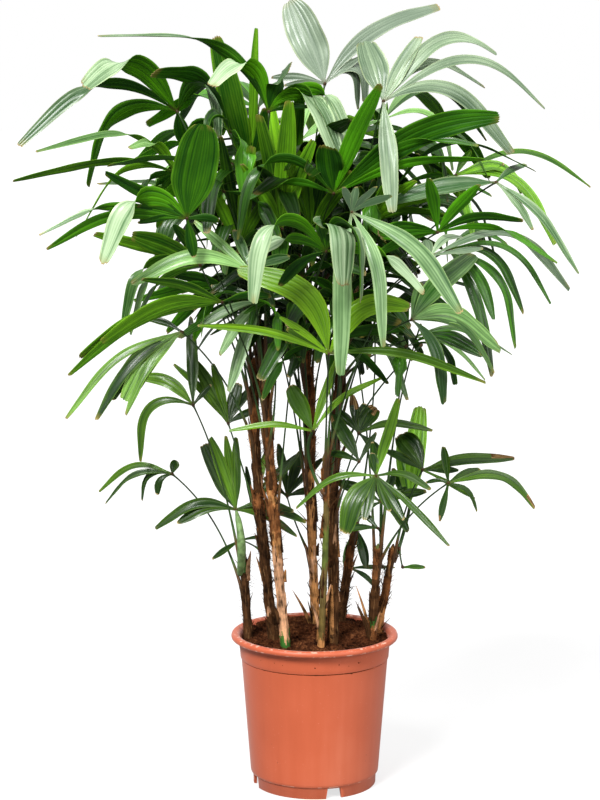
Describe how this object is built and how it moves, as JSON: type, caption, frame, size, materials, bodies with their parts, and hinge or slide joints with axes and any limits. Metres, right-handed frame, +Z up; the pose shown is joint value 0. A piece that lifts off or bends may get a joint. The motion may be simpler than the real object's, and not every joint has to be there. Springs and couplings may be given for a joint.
{
  "type": "potted lady palm",
  "caption": "Potted lady palm: slim fibrous canes with fans of ribbed green leaflets, in a round terracotta-coloured plastic nursery pot.",
  "frame": {"origin": "centre of the pot's underside, on the surface it stands on", "axes": "+Z up; -Y is the plant's front"},
  "size_m": [0.8119, 0.6304, 1.1277],
  "materials": {
    "pot": "satin",
    "soil": "matte",
    "canes": "matte",
    "fronds": "satin"
  },
  "bodies": {
    "root": {"pot": "pot", "soil": "soil", "cane_1": "canes", "cane_2": "canes", "cane_3": "canes", "cane_4": "canes", "cane_5": "canes", "cane_6": "canes", "cane_7": "canes", "cane_8": "canes", "cane_9": "canes", "frond_01": "fronds", "frond_02": "fronds", "frond_03": "fronds", "frond_04": "fronds", "frond_05": "fronds", "frond_06": "fronds", "frond_07": "fronds", "frond_08": "fronds", "frond_09": "fronds", "frond_10": "fronds", "frond_11": "fronds", "frond_12": "fronds", "frond_13": "fronds", "frond_14": "fronds", "frond_15": "fronds", "frond_17": "fronds", "frond_18": "fronds", "frond_20": "fronds", "frond_21": "fronds", "frond_22": "fronds", "frond_23": "fronds", "frond_24": "fronds", "frond_25": "fronds", "frond_26": "fronds", "frond_27": "fronds", "frond_28": "fronds", "frond_29": "fronds", "frond_30": "fronds", "frond_32": "fronds", "frond_33": "fronds", "frond_34": "fronds", "frond_35": "fronds", "frond_36": "fronds", "frond_37": "fronds", "frond_39": "fronds", "frond_42": "fronds", "frond_43": "fronds", "frond_44": "fronds", "frond_45": "fronds", "frond_46": "fronds", "frond_50": "fronds", "frond_51": "fronds", "frond_52": "fronds", "frond_53": "fronds", "frond_54": "fronds", "frond_55": "fronds", "frond_56": "fronds", "frond_57": "fronds"}
  },
  "joints": []
}
